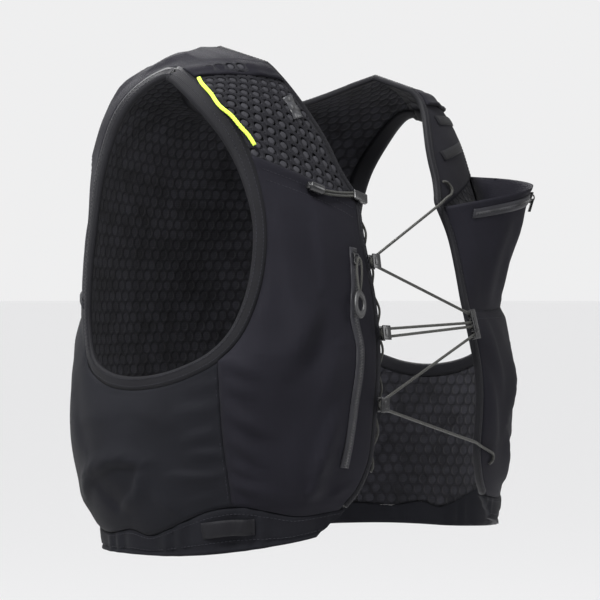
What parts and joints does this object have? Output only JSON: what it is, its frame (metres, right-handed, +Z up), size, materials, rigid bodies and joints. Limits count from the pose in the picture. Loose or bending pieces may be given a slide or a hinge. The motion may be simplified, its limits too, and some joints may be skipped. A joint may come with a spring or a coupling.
{
  "type": "running hydration vest",
  "caption": "Sleeveless running vest of dark mesh and stretch cloth with pockets, an open front laced across the chest by a thin cord, and open armholes.",
  "frame": {"origin": "between the shoulders, at the height where the vest rests on them", "axes": "+Z up, -Y out of the wearer's chest, +X to the wearer's left"},
  "size_m": [0.3786, 0.2926, 0.3834],
  "materials": {
    "spacer_mesh": "matte knitted spacer mesh with raised cells",
    "stretch_cloth": "soft matte stretch cloth",
    "open_net": "open knitted net",
    "binding": "smooth folded tape with two rows of stitches",
    "plastic": "smooth dark moulded plastic",
    "soft_rubber": "soft matte rubber",
    "grey_cord": "round braided elastic cord",
    "lime_cord": "bright round braided cord"
  },
  "bodies": {
    "root": {"armhole_binding_left": "binding", "armhole_binding_right": "binding", "back_cover": "stretch_cloth", "back_panel": "spacer_mesh", "back_pocket": "stretch_cloth", "chest_pocket_left": "stretch_cloth", "chest_slider_left": "plastic", "chest_zip_left": "plastic", "cord_hook_1": "plastic", "cord_hook_2": "plastic", "cord_hook_3": "plastic", "cord_lock_right": "plastic", "drawcord_clip_right": "plastic", "drawcord_right_1": "grey_cord", "drawcord_right_2": "grey_cord", "edge_binding_left": "binding", "edge_binding_right": "binding", "edge_cord_right": "grey_cord", "front_panel_left": "spacer_mesh", "front_panel_right": "spacer_mesh", "front_pocket_right": "stretch_cloth", "hem_band": "stretch_cloth", "lacing_cord": "grey_cord", "lime_cord_right": "lime_cord", "lower_pocket_left": "stretch_cloth", "neck_tab_right": "binding", "pole_loop_left": "binding", "pole_loop_right": "binding", "side_panel_left": "spacer_mesh", "side_panel_right": "spacer_mesh", "side_zip_right": "plastic", "slider_rail": "plastic", "strap_bar_left_1": "binding", "strap_bar_left_2": "binding", "strap_cover_left": "stretch_cloth", "strap_pocket_right": "open_net", "zip_pull_right": "soft_rubber", "zip_slider_right": "plastic"}
  },
  "joints": []
}
